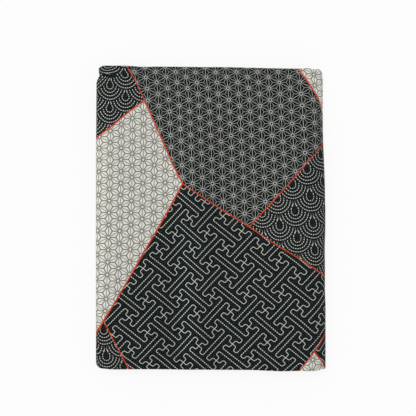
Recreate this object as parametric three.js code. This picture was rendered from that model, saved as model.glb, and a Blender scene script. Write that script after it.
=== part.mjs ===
// A cotton futon mattress cover, folded for storage and lying flat on a table.
// The cover is a bag 1050 mm by 2050 mm. It is folded in three across its width, which makes a strip
// of six plies about 350 mm wide, and the strip is folded in half three times, which makes a flat pack
// of eight runs. The solid is that strip: one sheet as thick as its six plies, in one piece from its
// first free end to its last.
// Millimetres. X runs across the pack, Y along it, Z up. The pack rests on z = 0, centred on X and Y.
import * as THREE from "three";

// Driving dimensions
const PACK_WIDTH = 263; // X, from the folds at the left to the spine at the right
const PACK_LENGTH = 350.4; // Y, the width of the strip
const SHEET = 2.6; // thickness of a run: six plies lying on each other
const GAP = 0.5; // air between two runs
const EDGE_ROUND = 1.4; // the last stretch of each run's edge, where it thins
const EDGE_THINNING = 0.55; // thickness at the very edge, as a share of the sheet's

const PITCH = SHEET + GAP;
const HALF_WIDTH = PACK_WIDTH / 2;
const HALF_LENGTH = PACK_LENGTH / 2;
const RUNS = 8;
const PACK_HEIGHT = (RUNS - 1) * PITCH + SHEET;

// The strip's turns, in order from its first free end. Runs are counted from the bottom.
// inset: how far the fold stays inside the pack's edge. reach: how far the fold bulges past the
// place where its runs begin to bend.
const LEFT = -1;
const RIGHT = 1;
const TURNS = [
  { side: RIGHT, from: 1, to: 8, inset: 0, reach: 16.5, steps: 12 },
  { side: LEFT, from: 8, to: 5, inset: 0, reach: 5, steps: 8 },
  { side: RIGHT, from: 5, to: 4, inset: 15, reach: 1.6, steps: 6 },
  { side: LEFT, from: 4, to: 3, inset: 1.8, reach: 1.6, steps: 6 },
  { side: RIGHT, from: 3, to: 6, inset: 10, reach: 6.5, steps: 7 },
  { side: LEFT, from: 6, to: 7, inset: 4, reach: 1.6, steps: 6 },
  { side: RIGHT, from: 7, to: 2, inset: 5, reach: 11.5, steps: 10 },
];
const FREE_ENDS = [
  { run: 1, inset: 3 },
  { run: 2, inset: 4.5 },
];

// How far each run's two long edges stay inside the pack's top and bottom edge.
const RUN_EDGES = [
  { run: 1, top: 1.0, bottom: 1.6 },
  { run: 2, top: 1.8, bottom: 2.2 },
  { run: 3, top: 2.6, bottom: 1.0 },
  { run: 4, top: 1.2, bottom: 2.4 },
  { run: 5, top: 2.2, bottom: 1.2 },
  { run: 6, top: 0.9, bottom: 1.9 },
  { run: 7, top: 1.6, bottom: 0.8 },
  { run: 8, top: 0, bottom: 0 },
];

// The pack's outline, seen from above: how far each edge stays inside the oblong of the pack's width
// and length. The spine leans in towards the top, the top edge slopes, the bottom edge bellies out
// near the right, and the left folds are pinched in near the top.
const SPINE_EDGE = [
  { y: -60, setback: 0 },
  { y: -34, setback: 0.5 },
  { y: -12, setback: 0 },
  { y: 15, setback: 0 },
  { y: 113, setback: 3 },
  { y: 153, setback: 3 },
  { y: 175, setback: 4.2 },
];
const FOLD_EDGE = [
  { y: 156, setback: 0 },
  { y: 163.3, setback: 4.5 },
  { y: 165.5, setback: 3.1 },
  { y: 175, setback: 2.7 },
];
const TOP_EDGE = [
  { x: -98, setback: 0 },
  { x: 0, setback: 0.7 },
  { x: 115, setback: 3 },
];
const BOTTOM_EDGE = [
  { x: -125, setback: 3.1 },
  { x: -115, setback: 2.5 },
  { x: 5, setback: 2.5 },
  { x: 42, setback: 1.7 },
  { x: 81, setback: 0 },
  { x: 115, setback: 1.1 },
];
const PINCH_REACH = 30; // how far in from the left folds the pinch is felt
const PINCH_BELOW = 0.5; // how much of it the lowest run takes, against the top one
const CORNERS = [
  { side: LEFT, end: "top", radius: 2.5 },
  { side: RIGHT, end: "top", radius: 4.2 },
  { side: LEFT, end: "bottom", radius: 7 },
  { side: RIGHT, end: "bottom", radius: 2.8 },
];

// The pack's thickness is uneven: fuller near the spine, flatter at the left, with the run edges
// drooping at the bottom, and one soft ridge that runs down the face. Heights are at the top face and
// fade to nothing at the underside, which stays flat.
const FULLNESS = [
  { x: -131, rise: -1.4 },
  { x: -60, rise: 0.1 },
  { x: 20, rise: 0 },
  { x: 100, rise: 1.3 },
  { x: 131, rise: 0.4 },
];
const EDGE_DROOP = { top: 1.0, bottom: 2.6, reach: 9 };
const RIDGE = { topX: -41, topY: 140, bottomX: -23, bottomY: -140, height: 0.9, halfWidth: 11, fade: 35 };

// Where the strip is divided: along a run by X, and across its width by share from bottom to top.
const RUN_DIVISIONS = [-95, -58, -46, -36, -26, -12, 38, 82];
const WIDTH_DIVISIONS = [
  0.012, 0.026, 0.08, 0.2, 0.36, 0.52, 0.68, 0.82, 0.9, 0.944, 0.962, 0.968, 0.976,
];

const { clamp, lerp, smoothstep } = THREE.MathUtils;

// The value at a place between a table's rows, easing from one row to the next.
function along(rows, place, value, at) {
  const next = rows.findIndex((row) => row[place] >= at);
  if (next === 0) return rows[0][value];
  if (next < 0) return rows[rows.length - 1][value];
  const before = rows[next - 1];
  const after = rows[next];
  return lerp(before[value], after[value], smoothstep(at, before[place], after[place]));
}

const runHeight = (run) => SHEET / 2 + (run - 1) * PITCH;
const edgeX = (side, inset) => side * (HALF_WIDTH - inset - SHEET / 2);
const turnCentre = (turn) => edgeX(turn.side, turn.inset) - turn.side * turn.reach;

// One straight run from startX to endX. facing is the side, up or down, that the strip's first face
// looks to there.
function runPoints(run, startX, endX, facing) {
  const low = Math.min(startX, endX);
  const high = Math.max(startX, endX);
  const inner = RUN_DIVISIONS.filter((x) => x > low + 1 && x < high - 1);
  const places = [low, ...inner, high];
  if (startX > endX) places.reverse();
  return places.map((x) => ({ x, z: runHeight(run), normalX: 0, normalZ: facing, run, thinning: 1 }));
}

// The half ellipse of one turn, without the two ends that its runs already have.
function turnPoints(turn, facing) {
  const rising = turn.to > turn.from ? 1 : -1;
  const radiusZ = (Math.abs(turn.to - turn.from) * PITCH) / 2;
  const middleZ = (runHeight(turn.from) + runHeight(turn.to)) / 2;
  const outward = -facing * rising; // 1 where the strip's first face is the outside of the turn
  const points = [];
  for (let step = 1; step < turn.steps; step++) {
    const share = step / turn.steps;
    const angle = rising * (share - 0.5) * Math.PI;
    const normal = new THREE.Vector2(
      (turn.side * Math.cos(angle)) / turn.reach,
      Math.sin(angle) / radiusZ,
    ).normalize();
    points.push({
      x: turnCentre(turn) + turn.side * turn.reach * Math.cos(angle),
      z: middleZ + radiusZ * Math.sin(angle),
      normalX: outward * normal.x,
      normalZ: outward * normal.y,
      run: lerp(turn.from, turn.to, share),
      thinning: 1,
    });
  }
  return points;
}

// The middle line of the strip from end to end, in the XZ plane.
function stripRoute() {
  const [firstEnd, lastEnd] = FREE_ENDS;
  const points = [];
  let facing = -1;
  let startX = edgeX(LEFT, firstEnd.inset);
  for (const turn of TURNS) {
    points.push(...runPoints(turn.from, startX, turnCentre(turn), facing));
    points.push(...turnPoints(turn, facing));
    facing = -facing;
    startX = turnCentre(turn);
  }
  points.push(...runPoints(lastEnd.run, startX, edgeX(LEFT, lastEnd.inset), facing));
  return withThinEnds(points);
}

// The strip's two free ends thin over their last stretch, as a sewn edge does.
function withThinEnds(points) {
  const first = points[0];
  const last = points[points.length - 1];
  const afterFirst = { ...first, x: first.x + EDGE_ROUND };
  const beforeLast = { ...last, x: last.x + EDGE_ROUND };
  return [
    { ...first, thinning: EDGE_THINNING },
    afterFirst,
    ...points.slice(1, -1),
    beforeLast,
    { ...last, thinning: EDGE_THINNING },
  ];
}

// How far a rounded corner holds an edge back, at a distance in from the side of the pack.
function cornerSetback(x, end) {
  return CORNERS.filter((corner) => corner.end === end).reduce((sum, { side, radius }) => {
    const past = clamp(radius - (HALF_WIDTH - side * x), 0, radius);
    return sum + radius - Math.sqrt(radius * radius - past * past);
  }, 0);
}

// Where the pack's outline ends, in Y, at one distance across it.
function packEnds(x) {
  return {
    top: HALF_LENGTH - along(TOP_EDGE, "x", "setback", x) - cornerSetback(x, "top"),
    bottom: along(BOTTOM_EDGE, "x", "setback", x) + cornerSetback(x, "bottom") - HALF_LENGTH,
  };
}

// Where the strip's two long edges lie, in Y, at one point of its route.
function stripEnds({ x, run }) {
  const { top, bottom } = packEnds(x);
  return {
    top: top - along(RUN_EDGES, "run", "top", run),
    bottom: bottom + along(RUN_EDGES, "run", "bottom", run),
  };
}

// The pack's outline moves the left folds and the spine, and what lies between follows.
function shiftedX(x, y, z) {
  const spineShare = clamp(x / HALF_WIDTH, 0, 1);
  const nearFolds = 1 - smoothstep(x + HALF_WIDTH, 0, PINCH_REACH);
  const pinchShare = nearFolds * lerp(PINCH_BELOW, 1, z / PACK_HEIGHT);
  const spineSetback = along(SPINE_EDGE, "y", "setback", y);
  const foldSetback = along(FOLD_EDGE, "y", "setback", y);
  return x - spineSetback * spineShare + foldSetback * pinchShare;
}

// Height of the soft ridge at one place on the top face.
function ridgeHeight(x, y) {
  const lineShare = (y - RIDGE.bottomY) / (RIDGE.topY - RIDGE.bottomY);
  const offset = (x - lerp(RIDGE.bottomX, RIDGE.topX, lineShare)) / RIDGE.halfWidth;
  const fadeIn = smoothstep(y, RIDGE.bottomY - RIDGE.fade, RIDGE.bottomY + RIDGE.fade);
  const fadeOut = 1 - smoothstep(y, RIDGE.topY - RIDGE.fade, RIDGE.topY + RIDGE.fade);
  return RIDGE.height * Math.exp(-offset * offset) * fadeIn * fadeOut;
}

// How much higher the top face is than a level pack's, at one place.
function topRise(x, y) {
  const ends = packEnds(x);
  const nearTop = 1 - clamp((ends.top - y) / EDGE_DROOP.reach, 0, 1);
  const nearBottom = 1 - clamp((y - ends.bottom) / EDGE_DROOP.reach, 0, 1);
  const droop = EDGE_DROOP.top * nearTop * nearTop + EDGE_DROOP.bottom * nearBottom * nearBottom;
  return along(FULLNESS, "x", "rise", x) + ridgeHeight(x, y) - droop;
}

// One point of the strip's surface. face is 1 on its first face and -1 on its second.
function surfacePoint(point, line, face) {
  const offset = (face * SHEET * line.thinning * point.thinning) / 2;
  const x = point.x + point.normalX * offset;
  const z = point.z + point.normalZ * offset;
  const lift = 1 + topRise(x, line.y) / PACK_HEIGHT;
  return [shiftedX(x, line.y, z), line.y, z * lift];
}

// The places in Y that divide the strip's width at one point of its route, with its thickness there.
function widthLines({ top, bottom }) {
  return [
    { y: bottom, thinning: EDGE_THINNING },
    { y: bottom + EDGE_ROUND, thinning: 1 },
    ...WIDTH_DIVISIONS.map((share) => ({ y: lerp(bottom, top, share), thinning: 1 })),
    { y: top - EDGE_ROUND, thinning: 1 },
    { y: top, thinning: EDGE_THINNING },
  ];
}

// The closed sheet: its two faces, its two long edges and its two free ends.
function foldedSheet() {
  const positions = [];
  const route = stripRoute();
  for (const point of route) {
    for (const line of widthLines(stripEnds(point))) {
      positions.push(...surfacePoint(point, line, 1), ...surfacePoint(point, line, -1));
    }
  }
  const lines = WIDTH_DIVISIONS.length + 4;
  const first = (i, j) => 2 * (i * lines + j);
  const second = (i, j) => first(i, j) + 1;
  const indices = [];
  const quad = (a, b, c, d) => indices.push(a, b, c, a, c, d);
  const lastPoint = route.length - 1;
  const lastLine = lines - 1;
  for (let i = 0; i < lastPoint; i++) {
    for (let j = 0; j < lastLine; j++) {
      quad(first(i, j), first(i, j + 1), first(i + 1, j + 1), first(i + 1, j));
      quad(second(i, j), second(i + 1, j), second(i + 1, j + 1), second(i, j + 1));
    }
    quad(first(i, 0), first(i + 1, 0), second(i + 1, 0), second(i, 0));
    quad(first(i, lastLine), second(i, lastLine), second(i + 1, lastLine), first(i + 1, lastLine));
  }
  for (let j = 0; j < lastLine; j++) {
    quad(first(0, j), second(0, j), second(0, j + 1), first(0, j + 1));
    quad(first(lastPoint, j), first(lastPoint, j + 1), second(lastPoint, j + 1), second(lastPoint, j));
  }
  const geometry = new THREE.BufferGeometry();
  geometry.setAttribute("position", new THREE.Float32BufferAttribute(positions, 3));
  geometry.setIndex(indices);
  geometry.computeVertexNormals();
  return centredOnPlan(geometry);
}

// Moves the pack so that the middle of its outline is over the origin.
function centredOnPlan(geometry) {
  geometry.computeBoundingBox();
  const middle = geometry.boundingBox.getCenter(new THREE.Vector3());
  return geometry.translate(-middle.x, -middle.y, 0);
}

const cotton = new THREE.MeshStandardMaterial({ color: 0x202a2a, roughness: 0.9, metalness: 0 });
const cover = new THREE.Mesh(foldedSheet(), cotton);
cover.name = "cover";

const part = new THREE.Group();
part.add(cover);
export default part;
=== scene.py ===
"""A printed cotton futon mattress cover, folded into a flat pack, seen from straight above.

The cover is a bag 1050 mm by 2050 mm. Its two plies lie together, so the piece is one closed sheet as
thick as both. It is folded in three across its width and carried along the folded strip's route, the
same route as the solid's. Sizes are in millimetres until the mesh is made, and then in metres.
"""

import math

import bpy
import numpy as np
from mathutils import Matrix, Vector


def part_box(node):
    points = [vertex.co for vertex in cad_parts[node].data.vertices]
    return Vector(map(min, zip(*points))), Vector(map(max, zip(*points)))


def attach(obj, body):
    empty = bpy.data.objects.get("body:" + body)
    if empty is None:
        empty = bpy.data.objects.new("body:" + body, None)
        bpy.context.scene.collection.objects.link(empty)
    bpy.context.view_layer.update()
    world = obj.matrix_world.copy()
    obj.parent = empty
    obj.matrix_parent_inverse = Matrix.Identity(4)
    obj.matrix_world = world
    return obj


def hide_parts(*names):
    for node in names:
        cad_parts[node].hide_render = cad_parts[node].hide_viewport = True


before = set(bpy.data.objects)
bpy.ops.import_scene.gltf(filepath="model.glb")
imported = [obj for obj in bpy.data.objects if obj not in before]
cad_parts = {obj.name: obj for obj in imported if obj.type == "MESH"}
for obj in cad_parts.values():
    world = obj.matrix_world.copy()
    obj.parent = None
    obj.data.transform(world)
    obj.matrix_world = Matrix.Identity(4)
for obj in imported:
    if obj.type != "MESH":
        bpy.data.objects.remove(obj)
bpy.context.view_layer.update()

MM = 0.001

# ---------------------------------------------------------------- sizes of the pack
low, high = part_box("cover")
HALF_WIDTH = (high.x - low.x) / 2 / MM
HALF_LENGTH = (high.y - low.y) / 2 / MM
RUNS = 8  # the folded strip lies in this many layers
SHEET = 2.6  # the height of one run of the strip
PITCH = 3.1  # from one run to the next
PACK_HEIGHT = (RUNS - 1) * PITCH + SHEET
PLIES = 0.72  # the bag's two plies, pressed together
PANEL_PITCH = (SHEET - PLIES) / 2  # from one third of the bag to the next, within a run
HEM_INSET = 0.3  # how far the bag's sewn long edges stay inside the strip
THIN_EDGE = 0.6  # the last stretch of a sewn edge, where it thins
THIN_SHARE = 0.55  # how thick the very edge is, as a share of the plies

LEFT, RIGHT = -1, 1
# The strip's turns in order: the runs that each one joins, counted from the lowest, how far it stays
# inside the pack's edge, how far it bulges out past the straight runs, and how many faces go round it.
TURNS = [
    dict(side=RIGHT, start=1, end=8, inset=0, reach=16.5, steps=22),
    dict(side=LEFT, start=8, end=5, inset=0, reach=5, steps=14),
    dict(side=RIGHT, start=5, end=4, inset=15, reach=1.6, steps=8),
    dict(side=LEFT, start=4, end=3, inset=1.8, reach=1.6, steps=10),
    dict(side=RIGHT, start=3, end=6, inset=10, reach=6.5, steps=12),
    dict(side=LEFT, start=6, end=7, inset=4, reach=1.6, steps=8),
    dict(side=RIGHT, start=7, end=2, inset=5, reach=11.5, steps=16),
]
FREE_END_INSETS = (3, 4.5)  # how far the strip's two free ends stay inside the pack's left edge
TOP_RUN_STEP = 5.5  # the length of a face along the run that shows
HIDDEN_RUN_STEP = 13  # and along the others
PANEL_STEPS = 48  # faces across each third of the bag
PANEL_CROWDING = 0.35  # how much closer together they lie at its two edges
LOOP_STEPS = 6  # faces round the fold from one third to the next

# How far each run's long edges stay inside the pack's top and bottom edge.
RUN_EDGES = dict(
    run=(1, 2, 3, 4, 5, 6, 7, 8),
    top=(1.0, 1.8, 2.6, 1.2, 2.2, 0.9, 1.6, 0),
    bottom=(1.6, 2.2, 1.0, 2.4, 1.2, 1.9, 0.8, 0),
)
# How far the pack's four edges stay inside its oblong.
SPINE_EDGE = dict(
    y=(-100, -84, -60, -34, -12, 8, 25, 113, 153, 175),
    setback=(-0.4, 0.3, 0.2, 0.5, -0.2, -0.2, 0.2, 2.8, 2.8, 3.8),
)
FOLD_EDGE = dict(y=(70, 110, 158, 162.8, 165.5, 175), setback=(0, 0.4, 0.7, 5.2, 3.8, 3.4))
TOP_EDGE = dict(x=(-100, -76, -60, 0, 105, 120), setback=(-1.0, 0.5, 0.2, 0.8, 2.7, 1.9))
BOTTOM_EDGE = dict(
    x=(-125, -112, -70, -12, 42, 81, 102, 118),
    setback=(3.1, 2.0, 2.4, 1.8, 1.6, 0.2, 0.7, 0.2),
)
PINCH_REACH = 30  # how far in from the left edge the pinch of the folds is felt
PINCH_BELOW = 0.5  # how much of it is left at the pack's foot
# How round the pack's corners are.
CORNERS = [
    dict(side=LEFT, end="top", radius=2.5),
    dict(side=RIGHT, end="top", radius=4.2),
    dict(side=LEFT, end="bottom", radius=7),
    dict(side=RIGHT, end="bottom", radius=2.8),
]
# The fullness of the pack across its width: how far its top face rises over a level pack's.
FULLNESS = dict(x=(-131, -60, 20, 100, 131), rise=(-1.4, 0.1, 0, 1.3, 0.4))
EDGE_DROOP = dict(top=1.0, bottom=2.6, reach=9)  # how far it sinks at the top and bottom edge
DRAWN_IN = dict(top=1.5, bottom=0.9, reach=18)  # how far the cloth is drawn in at the same edges
# Soft ridges and troughs running down the pack: the two ends of each, its height there and its spread.
# Their height is also painted into the cloth's colour: painted light on the ridges and painted shade in
# the troughs.
RIDGES = [
    dict(top=(-31, 110), bottom=(-23, -145), top_height=0.4, bottom_height=1.2, half_width=12),
    dict(top=(-52, -20), bottom=(-50, -150), top_height=-0.1, bottom_height=-0.8, half_width=10),
    dict(top=(-8, 110), bottom=(-4, -165), top_height=-0.2, bottom_height=-0.6, half_width=14),
    dict(top=(-10, -35), bottom=(-14, -80), top_height=0.5, bottom_height=0.5, half_width=9),
    # Along the left edge, mostly there to paint that edge lighter: painted light.
    dict(top=(-127, 120), bottom=(-133, -100), top_height=0.75, bottom_height=0.75, half_width=13),
    # Along the right edge, mostly there to paint that edge darker: painted shade.
    dict(top=(135, 90), bottom=(142, -165), top_height=-1.0, bottom_height=-0.9, half_width=20),
]
RIDGE_FADE = 30  # how far past its ends a ridge fades out

# How far the print is pulled along and across the cloth: GATHER is its whole pull from one side of
# GATHER_BAND to the other, and BOW its pull at BOW_REACH from the middle, which grows with the square.
GATHER = (3.0, 0.9)
GATHER_BAND = (-60, 20)
BOW = (2.5, 2.6)
BOW_REACH = 150
# Places where the cloth is tugged: how far the print there is moved, and how far each tug spreads.
TUGS = [
    dict(at=(-113, 5), spread=(35, 25), shift=(0.25, -1.05)),
    dict(at=(-49, -9), spread=(16, 38), shift=(-1.0, -0.7)),
    dict(at=(-9, -45), spread=(15, 45), shift=(0.95, -0.1)),
    dict(at=(-26, 90), spread=(18, 30), shift=(0, -0.8)),
    dict(at=(97, -48), spread=(24, 16), shift=(0, -1.0)),
    dict(at=(121, -146), spread=(22, 30), shift=(0, 1.3)),
    dict(at=(-113, -124), spread=(20, 24), shift=(0.85, 0.1)),
    dict(at=(-24, 172), spread=(60, 22), shift=(2.3, 0.3)),
    dict(at=(-10, 178), spread=(80, 13.3), shift=(0, 1.3)),
    dict(at=(-121, 171), spread=(14, 7), shift=(5.5, -3.4)),
    dict(at=(-117, 166), spread=(13, 3), shift=(2.0, -3.2)),
    dict(at=(-99, 170), spread=(14, 9), shift=(1.6, 0)),
    dict(at=(140, -60), spread=(18, 150), shift=(0, 1.4)),
    dict(at=(0, -163), spread=(120, 7), shift=(0, -0.6)),
    dict(at=(68, -176), spread=(40, 12), shift=(0.9, -1.1)),
    dict(at=(-80, -174), spread=(26, 8), shift=(0.1, -0.9)),
    dict(at=(120, 102), spread=(14, 34), shift=(-2.6, -1.2)),
    dict(at=(-115, 110), spread=(22, 45), shift=(0, 1.0)),
    dict(at=(-115, -70), spread=(20, 22), shift=(0, 0.7)),
    dict(at=(119, 134), spread=(12, 16), shift=(-1.7, 0)),
    dict(at=(122, 58), spread=(12, 20), shift=(0, -0.8)),
]


# ---------------------------------------------------------------- the folded form
def eased(table, place, value, at):
    """The table's value at a place, easing from one row to the next."""
    places = np.asarray(table[place], float)
    values = np.asarray(table[value], float)
    row = np.clip(np.searchsorted(places, at) - 1, 0, len(places) - 2)
    share = np.clip((at - places[row]) / (places[row + 1] - places[row]), 0, 1)
    return values[row] + (values[row + 1] - values[row]) * share * share * (3 - 2 * share)


def smoothstep(value, start, end):
    """0 up to the start and 1 from the end on, easing in between."""
    share = np.clip((value - start) / (end - start), 0, 1)
    return share * share * (3 - 2 * share)


def run_height(run):
    """The height of a run's middle."""
    return SHEET / 2 + (run - 1) * PITCH


def edge_x(side, inset):
    """Where the strip's middle lies when its outside stays this far inside the pack's edge."""
    return side * (HALF_WIDTH - inset - SHEET / 2)


def turn_centre(turn):
    """Where the straight runs end and the turn starts."""
    return edge_x(turn["side"], turn["inset"]) - turn["side"] * turn["reach"]


def run_rows(run, start, end, facing):
    """Rows of x, z, normal x, normal z and run along one straight run."""
    step = TOP_RUN_STEP if run == RUNS else HIDDEN_RUN_STEP
    count = math.ceil(abs(end - start) / step)
    return [(x, run_height(run), 0, facing, run) for x in np.linspace(start, end, count + 1)]


def turn_rows(turn, facing):
    """The same rows round one turn, without its two ends."""
    rising = 1 if turn["end"] > turn["start"] else -1
    radius = abs(turn["end"] - turn["start"]) * PITCH / 2
    middle = (run_height(turn["start"]) + run_height(turn["end"])) / 2
    outward = -facing * rising
    rows = []
    for step in range(1, turn["steps"]):
        share = step / turn["steps"]
        angle = rising * (share - 0.5) * math.pi
        across, up = math.cos(angle), math.sin(angle)
        normal = np.array([turn["side"] * across / turn["reach"], up / radius])
        normal *= outward / np.linalg.norm(normal)
        x = turn_centre(turn) + turn["side"] * turn["reach"] * across
        run = turn["start"] + (turn["end"] - turn["start"]) * share
        rows.append((x, middle + radius * up, *normal, run))
    return rows


def strip_route():
    """The middle of the strip from its first free end to its last, as columns."""
    rows = []
    facing = -1
    start = edge_x(LEFT, FREE_END_INSETS[0])
    for turn in TURNS:
        rows += run_rows(turn["start"], start, turn_centre(turn), facing)
        rows += turn_rows(turn, facing)
        facing = -facing
        start = turn_centre(turn)
    rows += run_rows(TURNS[-1]["end"], start, edge_x(LEFT, FREE_END_INSETS[1]), facing)
    first, last = rows[0], rows[-1]
    # Both free ends lie at the left, so the thin stretch of each is to its right.
    rows.insert(1, (first[0] + THIN_EDGE, *first[1:]))
    rows.insert(-1, (last[0] + THIN_EDGE, *last[1:]))
    return [np.array(column, float) for column in zip(*rows)]


def bag_section():
    """The bag's route across the strip: its offset from the strip's middle, and its place in Y."""
    loop = PANEL_PITCH / 2
    turn_y = HALF_LENGTH - loop - PLIES / 2
    hem_y = HALF_LENGTH - HEM_INSET
    steps = np.linspace(-1, 1, PANEL_STEPS + 1)
    crowded = (1 + PANEL_CROWDING) * steps - PANEL_CROWDING * steps**3
    low_panel = np.interp(crowded, (-1, 1), (-hem_y, turn_y))
    middle_panel = turn_y * -crowded
    high_panel = np.interp(crowded, (-1, 1), (-turn_y, hem_y))
    low_panel = np.insert(low_panel, 1, low_panel[0] + THIN_EDGE)
    high_panel = np.insert(high_panel, -1, high_panel[-1] - THIN_EDGE)
    bend = np.linspace(-0.5, 0.5, LOOP_STEPS + 1)[1:-1] * math.pi
    offset = np.concatenate([
        np.full_like(low_panel, -PANEL_PITCH),
        loop * (np.sin(bend) - 1),
        np.zeros_like(middle_panel),
        loop * (np.sin(bend) + 1),
        np.full_like(high_panel, PANEL_PITCH),
    ])
    place = np.concatenate([
        low_panel,
        turn_y + loop * np.cos(bend),
        middle_panel,
        -turn_y - loop * np.cos(bend),
        high_panel,
    ])
    return offset, place


def corner_setback(x, end):
    """How much the round corners take off one end of the pack at x."""
    held = 0
    for corner in CORNERS:
        if corner["end"] == end:
            radius = corner["radius"]
            past = np.clip(radius - (HALF_WIDTH - corner["side"] * x), 0, radius)
            held = held + radius - np.sqrt(radius * radius - past * past)
    return held


def pack_ends(x):
    """The pack's top and bottom edge at x."""
    top = HALF_LENGTH - eased(TOP_EDGE, "x", "setback", x) - corner_setback(x, "top")
    bottom = eased(BOTTOM_EDGE, "x", "setback", x) + corner_setback(x, "bottom") - HALF_LENGTH
    return top, bottom


def strip_ends(x, run):
    """The top and bottom edge of a run at x."""
    top, bottom = pack_ends(x)
    top = top - eased(RUN_EDGES, "run", "top", run)
    bottom = bottom + eased(RUN_EDGES, "run", "bottom", run)
    return top, bottom


def shifted_x(x, y, z):
    """x moved to follow the spine's edge at the right, and the folds' edge and its pinch at the left."""
    spine_share = np.clip(x / HALF_WIDTH, 0, 1)
    near_folds = 1 - smoothstep(x + HALF_WIDTH, 0, PINCH_REACH)
    pinch_share = near_folds * (PINCH_BELOW + (1 - PINCH_BELOW) * z / PACK_HEIGHT)
    spine = eased(SPINE_EDGE, "y", "setback", y)
    fold = eased(FOLD_EDGE, "y", "setback", y)
    return x - spine * spine_share + fold * pinch_share


def ridge_height(x, y):
    """The height of all the ridges and troughs together."""
    height = 0
    for ridge in RIDGES:
        (top_x, top_y), (bottom_x, bottom_y) = ridge["top"], ridge["bottom"]
        share = np.clip((y - bottom_y) / (top_y - bottom_y), 0, 1)
        offset = (x - bottom_x - (top_x - bottom_x) * share) / ridge["half_width"]
        past_bottom = smoothstep(y, bottom_y - RIDGE_FADE, bottom_y)
        past_top = smoothstep(y, top_y, top_y + RIDGE_FADE)
        shown = past_bottom * (1 - past_top)
        crest = ridge["bottom_height"] + (ridge["top_height"] - ridge["bottom_height"]) * share
        height = height + crest * shown * np.exp(-offset * offset)
    return height


def top_rise(x, y):
    """The height of the top face over a level pack's."""
    top, bottom = pack_ends(x)
    near_top = 1 - np.clip((top - y) / EDGE_DROOP["reach"], 0, 1)
    near_bottom = 1 - np.clip((y - bottom) / EDGE_DROOP["reach"], 0, 1)
    droop = EDGE_DROOP["top"] * near_top**2 + EDGE_DROOP["bottom"] * near_bottom**2
    return eased(FULLNESS, "x", "rise", x) + ridge_height(x, y) - droop


def travelled(across, up):
    """Distance covered along the first axis of a grid of places in a plane."""
    steps = np.hypot(np.diff(across, axis=0), np.diff(up, axis=0))
    return np.concatenate([np.zeros_like(steps[:1]), np.cumsum(steps, axis=0)])


def folded_grid():
    """The bag's middle surface: places in space, and places on the flat cloth."""
    x, z, normal_x, normal_z, run = (column[:, None] for column in strip_route())
    offset, place = (row[None, :] for row in bag_section())
    flat_x = x + normal_x * offset
    flat_z = z + normal_z * offset
    # The flat cloth is measured from the middle of the top face.
    along = travelled(flat_x, flat_z)
    across = travelled(place.T, offset.T).T
    top_run = np.flatnonzero(run[:, 0] == RUNS)
    centre_row = top_run[np.argmin(np.abs(x[top_run, 0]))]
    outer = np.flatnonzero(offset[0] == PANEL_PITCH)
    centre_column = outer[np.argmin(np.abs(place[0, outer]))]
    cloth_p = along[centre_row] - along + flat_x[centre_row]
    cloth_q = np.broadcast_to(across - across[0, centre_column] + place[0, centre_column], along.shape)
    # The level strip is then fitted between the pack's edges, and lifted to its fullness.
    top, bottom = strip_ends(flat_x, run)
    y = bottom + (top - bottom) * (place / HALF_LENGTH + 1) / 2
    y = y - DRAWN_IN["top"] * smoothstep(y, top - DRAWN_IN["reach"], top)
    y = y + DRAWN_IN["bottom"] * (1 - smoothstep(y, bottom, bottom + DRAWN_IN["reach"]))
    lift = 1 + top_rise(flat_x, y) / PACK_HEIGHT
    places = np.stack([shifted_x(flat_x, y, flat_z), y, flat_z * lift], axis=-1)
    return places, cloth_p, cloth_q


def printed_places(cloth_p, cloth_q):
    """Where the print lies on the cloth: gathered in a band, and bowed from end to end."""
    gathered = smoothstep(cloth_p, *GATHER_BAND)
    bowed = (cloth_q / BOW_REACH) ** 2
    print_p = cloth_p + GATHER[0] * gathered + BOW[0] * bowed
    print_q = cloth_q + GATHER[1] * gathered + BOW[1] * bowed
    for tug in TUGS:
        (at_p, at_q), (spread_p, spread_q), (shift_p, shift_q) = tug["at"], tug["spread"], tug["shift"]
        share = np.exp(-(((cloth_p - at_p) / spread_p) ** 2) - ((cloth_q - at_q) / spread_q) ** 2)
        print_p = print_p + shift_p * share
        print_q = print_q + shift_q * share
    return print_p, print_q


def grid_normals(places):
    """The direction straight out of the cloth at each point of the grid."""
    along = np.gradient(places, axis=0)
    across = np.gradient(places, axis=1)
    normals = np.cross(across, along)
    return normals / np.linalg.norm(normals, axis=-1, keepdims=True)


def sheet_faces(rows, columns):
    """Quads of a closed sheet: vertices of the first face, then of the second, row by row."""
    count = rows * columns
    index = np.arange(count).reshape(rows, columns)
    a, b, c, d = index[:-1, :-1], index[:-1, 1:], index[1:, 1:], index[1:, :-1]
    quads = [np.stack([a, b, c, d], -1), np.stack([a, d, c, b], -1) + count]
    for edge in (index[0, ::-1], index[-1], index[:, 0], index[::-1, -1]):
        under = edge + count
        quads.append(np.stack([edge[:-1], edge[1:], under[1:], under[:-1]], -1))
    return np.concatenate([quad.reshape(-1, 4) for quad in quads])


def folded_cover():
    """The cover as a closed sheet, which also keeps the print's places, and the height of the ridges for
    the painted light and shade on them.
    """
    places, cloth_p, cloth_q = folded_grid()
    rows, columns = cloth_p.shape
    thickness = np.full((rows, columns, 1), PLIES)
    thickness[[0, -1]] *= THIN_SHARE
    thickness[:, [0, -1]] *= THIN_SHARE
    half = grid_normals(places) * thickness / 2
    vertices = np.concatenate([(places + half).reshape(-1, 3), (places - half).reshape(-1, 3)]) * MM
    mesh = bpy.data.meshes.new("futon_cover")
    mesh.from_pydata(vertices.tolist(), [], sheet_faces(rows, columns).tolist())
    print_p, print_q = printed_places(cloth_p, cloth_q)
    ridge = ridge_height(places[..., 0], places[..., 1])
    cloth = np.stack([np.tile(value.ravel(), 2) for value in (print_p, print_q, ridge)], -1)
    attribute = mesh.attributes.new("cloth", "FLOAT_VECTOR", "POINT")
    attribute.data.foreach_set("vector", cloth.astype(np.float32).ravel())
    mesh.shade_smooth()
    mesh.update()
    piece = bpy.data.objects.new("futon_cover", mesh)
    bpy.context.scene.collection.objects.link(piece)
    return piece


cover = folded_cover()

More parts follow.
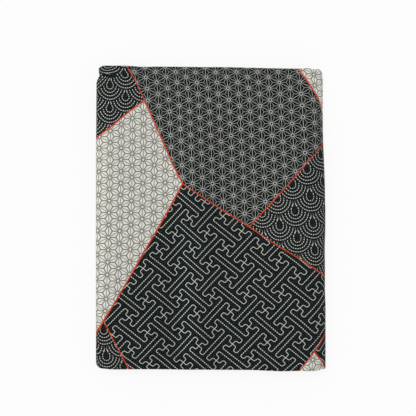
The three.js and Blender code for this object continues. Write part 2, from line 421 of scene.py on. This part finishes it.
# ---------------------------------------------------------------- numbers that vary over the cloth
cotton = bpy.data.materials.new("printed_cotton")
cotton.use_nodes = True
nodes = cotton.node_tree.nodes
links = cotton.node_tree.links


class Field:
    """A number that varies over the cloth, worked out by a node."""

    def __init__(self, socket):
        self.socket = socket

    def __add__(self, other):
        return worked("ADD", self, other)

    def __sub__(self, other):
        return worked("SUBTRACT", self, other)

    def __rsub__(self, other):
        return worked("SUBTRACT", other, self)

    def __mul__(self, other):
        return worked("MULTIPLY", self, other)

    def __truediv__(self, other):
        return worked("DIVIDE", self, other)

    def __neg__(self):
        return worked("MULTIPLY", self, -1.0)

    def __abs__(self):
        return worked("ABSOLUTE", self)

    __radd__ = __add__
    __rmul__ = __mul__


def put(socket, value):
    """Gives a node's socket a fixed value, or one that varies."""
    if isinstance(value, Field):
        links.new(value.socket, socket)
    else:
        socket.default_value = value


def worked(operation, *terms, clamped=False):
    """The outcome of one step of arithmetic on numbers, of which any may vary."""
    node = nodes.new("ShaderNodeMath")
    node.operation = operation
    node.use_clamp = clamped
    for socket, term in zip(node.inputs, terms):
        put(socket, term)
    return Field(node.outputs[0])


def least(*terms):
    result = terms[0]
    for term in terms[1:]:
        result = worked("MINIMUM", result, term)
    return result


def greatest(*terms):
    result = terms[0]
    for term in terms[1:]:
        result = worked("MAXIMUM", result, term)
    return result


def summed(x, y, x_share, y_share, constant):
    """So much of x, so much of y, and a constant."""
    return worked("MULTIPLY_ADD", x, x_share, worked("MULTIPLY_ADD", y, y_share, constant))


def length(x, y):
    """How far a place lies from the middle."""
    return worked("POWER", x * x + y * y, 0.5)


def wrapped(value, half):
    """The value brought between minus a half and a half of its repeat."""
    return worked("WRAP", value, half, -half)


def below(value, limit):
    """1 where the value is below the limit, and 0 elsewhere."""
    return worked("LESS_THAN", value, limit)


def chosen(share, one, other):
    """One value where the share is 1, and the other where it is 0."""
    return worked("MULTIPLY_ADD", share, one - other, other)


def inked(distance, half_width, softness):
    """How much ink lies at a distance from a line's middle, fading over the softness at its edge."""
    return worked("MULTIPLY_ADD", distance, -1 / softness, half_width / softness + 0.5, clamped=True)


def shade(red, green, blue):
    """A colour given as it shows on a screen, as the light it sends back, by the sRGB curve."""
    shown = np.array([red, green, blue]) / 255
    light = np.where(shown <= 0.04045, shown / 12.92, ((shown + 0.055) / 1.055) ** 2.4)
    return (*light.tolist(), 1)


MIX_INPUTS = (0, 6, 7)  # a mix node's sockets for the share and for its two colours
MIX_OUTPUT = 2  # and the one where the colour comes out


def mixed(share, under, over):
    """One colour laid over another where the share is 1."""
    node = nodes.new("ShaderNodeMix")
    node.data_type = "RGBA"
    for socket, value in zip(MIX_INPUTS, (share, under, over)):
        put(node.inputs[socket], value)
    return Field(node.outputs[MIX_OUTPUT])


# ---------------------------------------------------------------- the print
# The edges and size of the print that the top face shows. Past them it runs back the way it came.
PRINT_LEFT, PRINT_WIDTH = -150, 310
PRINT_BOTTOM, PRINT_LENGTH = -193, 386
cloth = nodes.new("ShaderNodeAttribute")
cloth.attribute_name = "cloth"
split = nodes.new("ShaderNodeSeparateXYZ")
links.new(cloth.outputs["Vector"], split.inputs[0])
# The place on the print: p runs along the folded strip and q across it.
p = worked("PINGPONG", Field(split.outputs["X"]) - PRINT_LEFT, PRINT_WIDTH) + PRINT_LEFT
q = worked("PINGPONG", Field(split.outputs["Y"]) - PRINT_BOTTOM, PRINT_LENGTH) + PRINT_BOTTOM

# Where joins meet, in millimetres on the print.
JOINS = dict(
    A=(-89.6, 177.1), B=(-73.7, 137.6), C=(-124.6, 96.4), N=(-43.6, 64.0), D=(-31.0, 39.6), E=(46.5, -8.7),
    G=(141.0, -67.5), H=(111.7, 63.9), F=(-119.8, -117.2), U=(-133.0, -141.9), I=(-90.0, -171.3),
    J=(122.8, -147.0), K=(139.8, -125.1), L=(108.6, -168.7), M=(142.5, -172.5),
    R=(113.0, 170.8), S=(125.6, 148.2), T=(134.0, 131.6),
)
# Each patch lies to the right of its walls, which run from join to join, with the two walls of a hollow
# corner in brackets. The joint is how far the orange line between patches reaches into it.
PATCHES = [
    dict(motif="keys", joint=0.6, walls=["D G", "F D", "I F", ("K J", "J L")]),
    dict(motif="corner keys", joint=0.9, walls=["M J", "J K"]),
    dict(motif="dark leaves", joint=0.6, walls=["B A", "N B", "D N", "E D", "H E", "R S", "S T"]),
    dict(motif="light leaves", joint=1.05, walls=["C B", ("B N", "N D"), ("D F", "F U")]),
    dict(motif="low corner leaves", joint=0.75, walls=["L J", "J M"]),
    dict(motif="top corner leaves", joint=1.1, walls=[("T S", "S R")]),
    dict(motif="waves", joint=0.65, walls=["G E", "E H", "S T"]),
    dict(motif="corner waves", joint=0.65, walls=["U F", "F I"]),
    dict(motif="low waves", joint=0.55, walls=["A B", "B C"]),
]
SOFT = 0.3  # how wide the ink's fade is at a line's edge
STITCH_SOFT = 0.8  # and at a stitch's ends, on a wave along the line that swings from -1 to 1

DARK = shade(18, 28, 27)
CREAM = shade(217, 216, 208)
PALE = shade(234, 234, 226)
GREY = shade(112, 111, 102)
ORANGE = shade(190, 66, 36)

# Each motif's lattice: where one repeat starts, and the steps to its two neighbours. Each motif is drawn
# in a size of its own, in millimetres, and stretched a little to fit its lattice.
LEAVES = {
    "dark leaves": dict(
        origin=(-20.91, 110.02), across=(23.92, 0.51), up=(-0.36, 13.96), pitch=13.9, edge=0.26,
        spoke=0.18, blend=0.3, softness=0.22, ring=1.6, ring_width=0.34, ground=DARK, ink=PALE,
    ),
    "light leaves": dict(
        origin=(-102.7, 25.26), across=(25.25, 0.64), up=(0.35, 13.81), pitch=13.8, edge=0.8,
        spoke=1.2, blend=0.5, softness=0.35, ring=1.6, ring_width=0.62, ground=CREAM, ink=GREY,
    ),
}
LEAVES["top corner leaves"] = dict(LEAVES["light leaves"], origin=(-104.3, 28.6))
LEAVES["low corner leaves"] = dict(LEAVES["light leaves"], origin=(-100.8, 31.2))
# A scale of the waves is a round of three rings about a teardrop, the eye.
WAVE = dict(
    pitch=38, scale=17.5, eye=4.15, step=3.67, rings=3, line=0.6, eye_line=0.55, eye_gap=1.2,
    stitch=2.7, eye_stitches=11, open=0.42, ground=DARK, ink=PALE,
)
WAVES = {
    "waves": dict(WAVE, origin=(81.35, -6.9), across=(37.75, 2.65), up=(-2.87, 31.0), row=15.0),
    "corner waves": dict(WAVE, origin=(-119.5, -128.2), across=(37.3, 4.7), up=(-3.4, 29.4), row=14.9),
    "low waves": dict(WAVE, origin=(-112.6, 154.1), across=(36.5, -0.85), up=(1.2, 26.9), row=12.4),
}
# In the key fret the bends' radius, the bars' distance from a cell's middle and where their tails start
# are shares of the cell. Its other sizes are in millimetres.
KEYS = {
    "keys": dict(
        origin=(-40.77, -19.05), first=(21.36, -16.63), second=(-18.02, -19.33), size=27,
        bend=0.1, bar=0.4, tail=0.35, roundness=3, hook_line=0.44, bar_line=0.68, stitch=2.7, open=0.4,
        ground=DARK, ink=PALE,
    ),
}
KEYS["corner keys"] = dict(KEYS["keys"], origin=(-26.2, -20.3))


def repeats(origin, first, second):
    """How many of each of two steps lead from an origin to a place on the print."""
    (x, y), (first_x, first_y), (second_x, second_y) = origin, first, second
    area = first_x * second_y - first_y * second_x
    firsts = summed(p, q, second_y / area, -second_x / area, (y * second_x - x * second_y) / area)
    seconds = summed(p, q, -first_y / area, first_x / area, (x * first_y - y * first_x) / area)
    return firsts, seconds


def stitched(along, stitch, share):
    """Stitches along a line, with a share of each left open, from a distance along it."""
    wave = worked("COSINE", along * (2 * math.pi / stitch))
    return inked(-wave, math.cos(math.pi * share), STITCH_SOFT)


def leaves(motif):
    """Hemp leaves: a lattice of triangles, each with three spokes to its middle."""
    columns, rows = repeats(motif["origin"], motif["across"], motif["up"])
    pitch, softness = motif["pitch"], motif["softness"]
    width = pitch * math.sqrt(3)
    # Stars stand at the corners and in the middle of each oblong, and a place belongs to the nearest.
    across, up = columns * width, rows * pitch
    corner = (wrapped(across, width / 2), wrapped(up, pitch / 2))
    middle = (wrapped(across + width / 2, width / 2), wrapped(up + pitch / 2, pitch / 2))
    nearer = below(length(*corner) - length(*middle), 0)
    x, y = (abs(chosen(nearer, one, other)) for one, other in zip(corner, middle))
    sine, cosine = 0.5, math.sqrt(0.75)  # of 30 degrees
    to_edge = least(x, abs(x * sine - y * cosine)) - motif["edge"] / 2
    to_spoke = least(y, abs(x * cosine - y * sine)) - motif["spoke"] / 2
    lines = inked(worked("SMOOTH_MIN", to_edge, to_spoke, motif["blend"]), 0, softness)
    from_star = length(x, y)
    star_ring = inked(abs(from_star - motif["ring"]), motif["ring_width"] / 2, softness)
    return chosen(inked(from_star, motif["ring"], softness), star_ring, greatest(lines, star_ring))


def waves(motif):
    """Blue sea waves: hanging scales of stitched rings, each row over the row below it."""
    columns, rows = repeats(motif["origin"], motif["across"], motif["up"])
    pitch, row, scale, line = motif["pitch"], motif["row"], motif["scale"], motif["line"]
    # A repeat has two rows, and every other row stands half a pitch over.
    x = columns * pitch
    height = rows * 2
    upper_row = worked("CEIL", height)
    share = upper_row - height
    odd = worked("FLOORED_MODULO", upper_row, 2)
    even_x, odd_x = wrapped(x, pitch / 2), wrapped(x + pitch / 2, pitch / 2)
    x_row, x_next = chosen(odd, odd_x, even_x), chosen(odd, even_x, odd_x)
    # A place belongs to the highest scale that hangs over it.
    upper = below(length(x_next, share * row + row), scale)
    own = below(length(x_row, share * row), scale) * (1 - upper)
    side = chosen(own, x_row, x_next)
    next_side = chosen(own, x_next, x_row)
    drop = (share - 1 + own + upper * 2) * row
    from_centre = length(side, drop)
    to_upper = length(next_side, drop + row) - scale
    number = worked("ROUND", (from_centre - motif["eye"]) / motif["step"])
    radius = least(greatest(number, 1), motif["rings"]) * motif["step"] + motif["eye"]
    turned = worked("ARCTAN2", side, drop)
    ring_stitches = stitched(turned * radius, motif["stitch"], motif["open"])
    rings = inked(abs(from_centre - radius), line / 2, SOFT) * ring_stitches
    # The eye is straight-sided above its middle, and stops short of the scales over it.
    eye = greatest(length(side, greatest(drop, 0)) - motif["eye"], motif["eye_gap"] - to_upper)
    eye_stitches = stitched(turned, 2 * math.pi / motif["eye_stitches"], motif["open"])
    eyes = inked(abs(eye), motif["eye_line"] / 2, SOFT) * eye_stitches
    seen = inked(-to_upper, -line / 2, SOFT) * inked(-eye, -line, SOFT)
    return greatest(rings * seen, eyes)


def squarish_length(x, y, roundness):
    """Distance from a middle, measured so that its circles come out a little square."""
    powers = worked("POWER", abs(x), roundness) + worked("POWER", abs(y), roundness)
    return worked("POWER", powers, 1 / roundness)


def keys(motif):
    """Key fret: hooked bars turned four ways about each crossing, mirrored in every other cell."""
    firsts, seconds = repeats(motif["origin"], motif["first"], motif["second"])
    size, bend, bar_at, stitch = motif["size"], motif["bend"], motif["bar"], motif["stitch"]
    odd = worked("FLOORED_MODULO", worked("ROUND", firsts) + worked("ROUND", seconds), 2)
    x = wrapped(firsts, 0.5) * (1 - odd * 2)
    y = wrapped(seconds, 0.5)
    # The four quarters of a cell are alike: reach runs out from its middle, and rise is square to it.
    sideways = below(abs(y) - abs(x), 0)
    reach = greatest(abs(x), abs(y))
    rise = chosen(sideways, y * worked("SIGN", x), -x * worked("SIGN", y))

    def bent(centre):
        """Distance from a round bend."""
        return abs(squarish_length(reach - centre, rise + bend, motif["roundness"]) - bend)

    # A line runs out from the middle, bends down, hooks round and goes up as a bar. Where a stretch of it
    # stops, 1 is added, which is too far off for any ink.
    stub = length(greatest(reach - bend, 0), rise)
    turn = bent(bend) + below(reach, bend) + below(rise, -bend)
    hook = bent(bar_at - bend) + below(-rise, bend)
    bar = abs(reach - bar_at) + below(rise, -bend)
    tail = abs(rise + bar_at) + below(reach, motif["tail"])
    hooks = inked(least(stub, turn, hook) * size, motif["hook_line"] / 2, SOFT)
    bars = inked(bar * size, motif["bar_line"] / 2, SOFT) * stitched(rise * size, stitch, motif["open"])
    tails = inked(tail * size, motif["bar_line"] / 2, SOFT) * stitched(reach * size, stitch, motif["open"])
    return greatest(hooks, bars, tails)


def right_of(wall):
    """Distance to the right of a wall, or the greater one of a hollow corner's two."""
    if isinstance(wall, tuple):
        return greatest(*(right_of(part) for part in wall))
    (start_x, start_y), (end_x, end_y) = (JOINS[name] for name in wall.split())
    run = math.hypot(end_x - start_x, end_y - start_y)
    x_share, y_share = (end_y - start_y) / run, (start_x - end_x) / run
    return summed(p, q, x_share, y_share, -start_x * x_share - start_y * y_share)


pictures = {}
for draw, motifs in ((keys, KEYS), (leaves, LEAVES), (waves, WAVES)):
    for name, motif in motifs.items():
        pictures[name] = mixed(draw(motif), motif["ground"], motif["ink"])

printed = DARK
past_joints = []
for patch in PATCHES:
    depth = least(*(right_of(wall) for wall in patch["walls"]))
    printed = mixed(below(-depth, 0), printed, pictures[patch["motif"]])
    past_joints.append(depth - patch["joint"])
printed = mixed(inked(greatest(*past_joints), 0, SOFT), printed, ORANGE)

# ---------------------------------------------------------------- the cotton
THREAD = 0.45  # from one thread to the next
# How large each kind of unevenness is along and across the cloth.
SLUB = (0.8, 6)
FLECK = (1.3, 1.3)
WEAR = (22, 30)
WRINKLE = (34, 48)
SLUB_TONE = 0.35  # how much lighter a thick stretch of thread is than a thin one
WEAR_TONE = 0.1  # and a worn place than a fresh one
RIDGE_PAINTED_LIGHT = 0.22  # how much lighter the cloth's colour is painted on a ridge, and darker in a trough, per millimetre of its height: painted light and shade
FIBRE_LIGHT = 0.13  # how much light the fibre ends add or take
WEAVE_HEIGHT = 0.05 * MM
SLUB_HEIGHT = 0.04 * MM
WRINKLE_HEIGHT = 0.5 * MM
COTTON_SURFACE = {
    "Roughness": 0.9,
    "Specular IOR Level": 0.1,
    "Sheen Weight": 0.03,
    "Sheen Roughness": 0.5,
}


def set_values(node, values):
    """Sets values on a node's own sockets."""
    for name, value in values.items():
        node.inputs[name].default_value = value


def noise(size, detail):
    """Uneven values from 0 to 1, in lumps of a size along and across the cloth."""
    places = nodes.new("ShaderNodeCombineXYZ")
    for axis, lump in zip("XY", size):
        put(places.inputs[axis], Field(split.outputs[axis]) * (1 / lump))
    node = nodes.new("ShaderNodeTexNoise")
    links.new(places.outputs[0], node.inputs["Vector"])
    set_values(node, {"Scale": 1.0, "Detail": detail})
    return Field(node.outputs["Fac"])


warp = worked("COSINE", p * (math.pi / THREAD))
weft = worked("COSINE", q * (math.pi / THREAD))
weave = warp * weft
slub = noise(SLUB, detail=1) + noise(SLUB[::-1], detail=1)
flecks = noise(FLECK, detail=2)
wear = noise(WEAR, detail=2)
wrinkles = noise(WRINKLE, detail=2)
ridge = Field(split.outputs["Z"])
# The slub, wear and fibre flecks are the cloth's own. The ridge term is painted light on the ridges and
# painted shade in the troughs.
tone_and_ridge_shading = 1 + (slub - 1) * SLUB_TONE + (wear - 0.5) * WEAR_TONE + ridge * RIDGE_PAINTED_LIGHT
fibres = (flecks - 0.5) * FIBRE_LIGHT
tinted_and_shaded = nodes.new("ShaderNodeVectorMath")
tinted_and_shaded.operation = "MULTIPLY_ADD"
put(tinted_and_shaded.inputs[0], printed)
put(tinted_and_shaded.inputs[1], tone_and_ridge_shading)
put(tinted_and_shaded.inputs[2], fibres)

relief = weave * (WEAVE_HEIGHT / 2) + slub * SLUB_HEIGHT + wrinkles * WRINKLE_HEIGHT
bump = nodes.new("ShaderNodeBump")
set_values(bump, {"Strength": 1.0, "Distance": 1.0})  # so that the relief's height is in metres
put(bump.inputs["Height"], relief)

surface = nodes["Principled BSDF"]
links.new(tinted_and_shaded.outputs[0], surface.inputs["Base Color"])
links.new(bump.outputs["Normal"], surface.inputs["Normal"])
set_values(surface, COTTON_SURFACE)
cover.data.materials.append(cotton)

# ---------------------------------------------------------------- floor, light, camera
WHITE = (1, 1, 1, 1)
FLOOR_Z = -0.2 * MM  # just below the cloth
FLOOR_HALF = 4.0
FLOOR_CORNERS = [(-1, -1), (1, -1), (1, 1), (-1, 1)]
FLOOR_WHITE = 0.12  # how much light the floor sends back
FLOOR_GLOW = 0.863  # and how much of its own it gives
FLOOR_SURFACE = {
    "Base Color": (FLOOR_WHITE, FLOOR_WHITE, FLOOR_WHITE, 1),
    "Roughness": 0.9,
    "Specular IOR Level": 0.0,
    "Emission Color": WHITE,
    "Emission Strength": FLOOR_GLOW,
}
SOFTBOX = dict(place=(-1.5, 2.5, 8.0), size=2.4, power=190)
AMBIENT = 0.75
CAMERA = dict(place=(-0.0032, 0.0121, 1.34), lens=100, sensor=36)  # looking straight down

floor_mesh = bpy.data.meshes.new("floor")
floor_mesh.from_pydata(
    [(x * FLOOR_HALF, y * FLOOR_HALF, FLOOR_Z) for x, y in FLOOR_CORNERS], [], [range(len(FLOOR_CORNERS))]
)
panel = bpy.data.materials.new("lit_white_panel")
panel.use_nodes = True
set_values(panel.node_tree.nodes["Principled BSDF"], FLOOR_SURFACE)
floor_mesh.materials.append(panel)
floor = bpy.data.objects.new("floor", floor_mesh)
bpy.context.scene.collection.objects.link(floor)

softbox_data = bpy.data.lights.new("softbox", "AREA")
softbox_data.size = SOFTBOX["size"]
softbox_data.energy = SOFTBOX["power"]
softbox = bpy.data.objects.new("softbox", softbox_data)
softbox.location = SOFTBOX["place"]
softbox.rotation_euler = softbox.location.to_track_quat("Z", "Y").to_euler()
bpy.context.scene.collection.objects.link(softbox)

world = bpy.data.worlds.new("studio")
world.use_nodes = True
set_values(world.node_tree.nodes["Background"], {"Color": WHITE, "Strength": AMBIENT})
bpy.context.scene.world = world

camera_data = bpy.data.cameras.new("camera")
camera_data.lens = CAMERA["lens"]
camera_data.sensor_width = CAMERA["sensor"]
camera = bpy.data.objects.new("camera", camera_data)
camera.location = CAMERA["place"]
bpy.context.scene.collection.objects.link(camera)
bpy.context.scene.camera = camera
bpy.context.scene.view_settings.view_transform = "Standard"

# ---------------------------------------------------------------- joined to the frame
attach(cover, "root")
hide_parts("cover")
